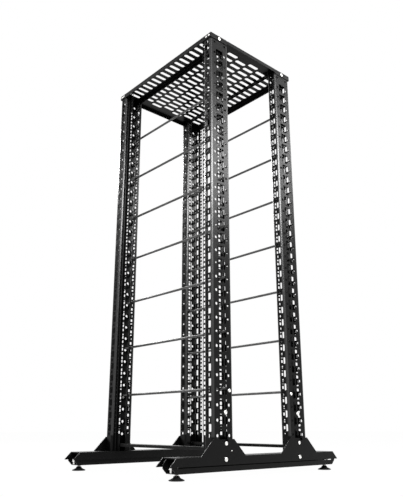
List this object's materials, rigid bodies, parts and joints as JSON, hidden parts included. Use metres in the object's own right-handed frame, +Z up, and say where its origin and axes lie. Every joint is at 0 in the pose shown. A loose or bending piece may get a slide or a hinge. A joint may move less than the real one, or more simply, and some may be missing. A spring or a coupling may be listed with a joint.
{
  "type": "four post open frame rack",
  "caption": "Open frame rack with four perforated channel posts, slotted top, tie rods and a base on levelling feet",
  "frame": {"origin": "on the floor under the middle of the rack", "axes": "+X to the right seen from the front, +Y to the back, +Z up"},
  "size_m": [0.586, 0.756, 1.529],
  "materials": {
    "black_powder_coat": "satin",
    "rod_steel": "satin",
    "foot_black": "matte"
  },
  "bodies": {
    "root": {"front_cross_member": "black_powder_coat", "front_left_foot": "foot_black", "front_left_post": "black_powder_coat", "front_right_foot": "foot_black", "front_right_post": "black_powder_coat", "front_rod_1": "rod_steel", "front_rod_2": "rod_steel", "front_rod_3": "rod_steel", "front_rod_4": "rod_steel", "front_rod_5": "rod_steel", "front_rod_6": "rod_steel", "front_rod_7": "rod_steel", "left_base_channel": "black_powder_coat", "left_base_rail": "black_powder_coat", "rear_cross_member": "black_powder_coat", "rear_left_foot": "foot_black", "rear_left_post": "black_powder_coat", "rear_right_foot": "foot_black", "rear_right_post": "black_powder_coat", "rear_rod_1": "rod_steel", "rear_rod_2": "rod_steel", "rear_rod_3": "rod_steel", "rear_rod_4": "rod_steel", "rear_rod_5": "rod_steel", "rear_rod_6": "rod_steel", "rear_rod_7": "rod_steel", "right_base_channel": "black_powder_coat", "right_base_rail": "black_powder_coat", "top_centre_panel": "black_powder_coat", "top_front_channel": "black_powder_coat", "top_rear_channel": "black_powder_coat"}
  },
  "joints": []
}
